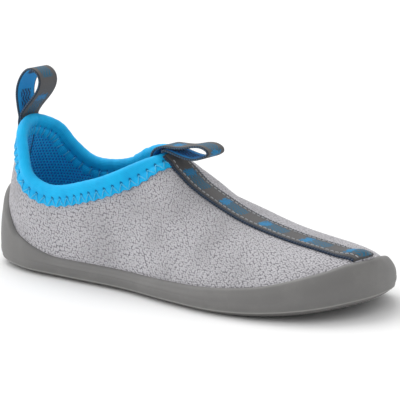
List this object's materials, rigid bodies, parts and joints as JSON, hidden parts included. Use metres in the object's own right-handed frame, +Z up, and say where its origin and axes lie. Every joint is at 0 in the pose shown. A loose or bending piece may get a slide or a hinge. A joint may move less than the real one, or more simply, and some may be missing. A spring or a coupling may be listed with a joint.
{
  "type": "slip-on water shoe",
  "caption": "Low-cut slip-on water shoe for the right foot, with a rubber cup sole, pile-faced neoprene upper, bound elastic collar, instep strap and webbing pull loops.",
  "frame": {"origin": "on the ground under the middle of the shoe's bounding box", "axes": "+X to the toe, +Y to the inner (big toe) side, +Z up"},
  "size_m": [0.2438, 0.0994, 0.1094],
  "materials": {
    "rubber": "satin moulded",
    "board": "fibre board",
    "foam": "closed-cell foam",
    "footbed_cloth": "knitted cover",
    "pile": "nubby pile on neoprene",
    "mesh": "open mesh",
    "binding": "elastic tape",
    "webbing": "woven"
  },
  "bodies": {
    "shoe": {"outsole": "rubber", "insole_board": "board", "footbed_foam": "foam", "footbed_cover": "footbed_cloth", "upper_outer_side": "pile", "upper_inner_side": "pile", "lining_outer_side": "mesh", "lining_inner_side": "mesh", "collar_binding": "binding", "instep_strap": "webbing", "heel_tape": "webbing"},
    "instep_loop": {"instep_loop": "webbing"},
    "heel_loop": {"heel_loop": "webbing"}
  },
  "joints": [
    {"name": "instep_loop_fold", "type": "hinge", "parent": "shoe", "child": "instep_loop", "pos_m": [-0.00641, -0.00076, 0.0741], "axis": [0, -1, 0], "range_deg": [-20, 120], "stiffness_Nm_per_rad": 0.02},
    {"name": "heel_loop_fold", "type": "hinge", "parent": "shoe", "child": "heel_loop", "pos_m": [-0.10721, -0.00076, 0.0824], "axis": [0, 1, 0], "range_deg": [-110, 15], "stiffness_Nm_per_rad": 0.02}
  ]
}
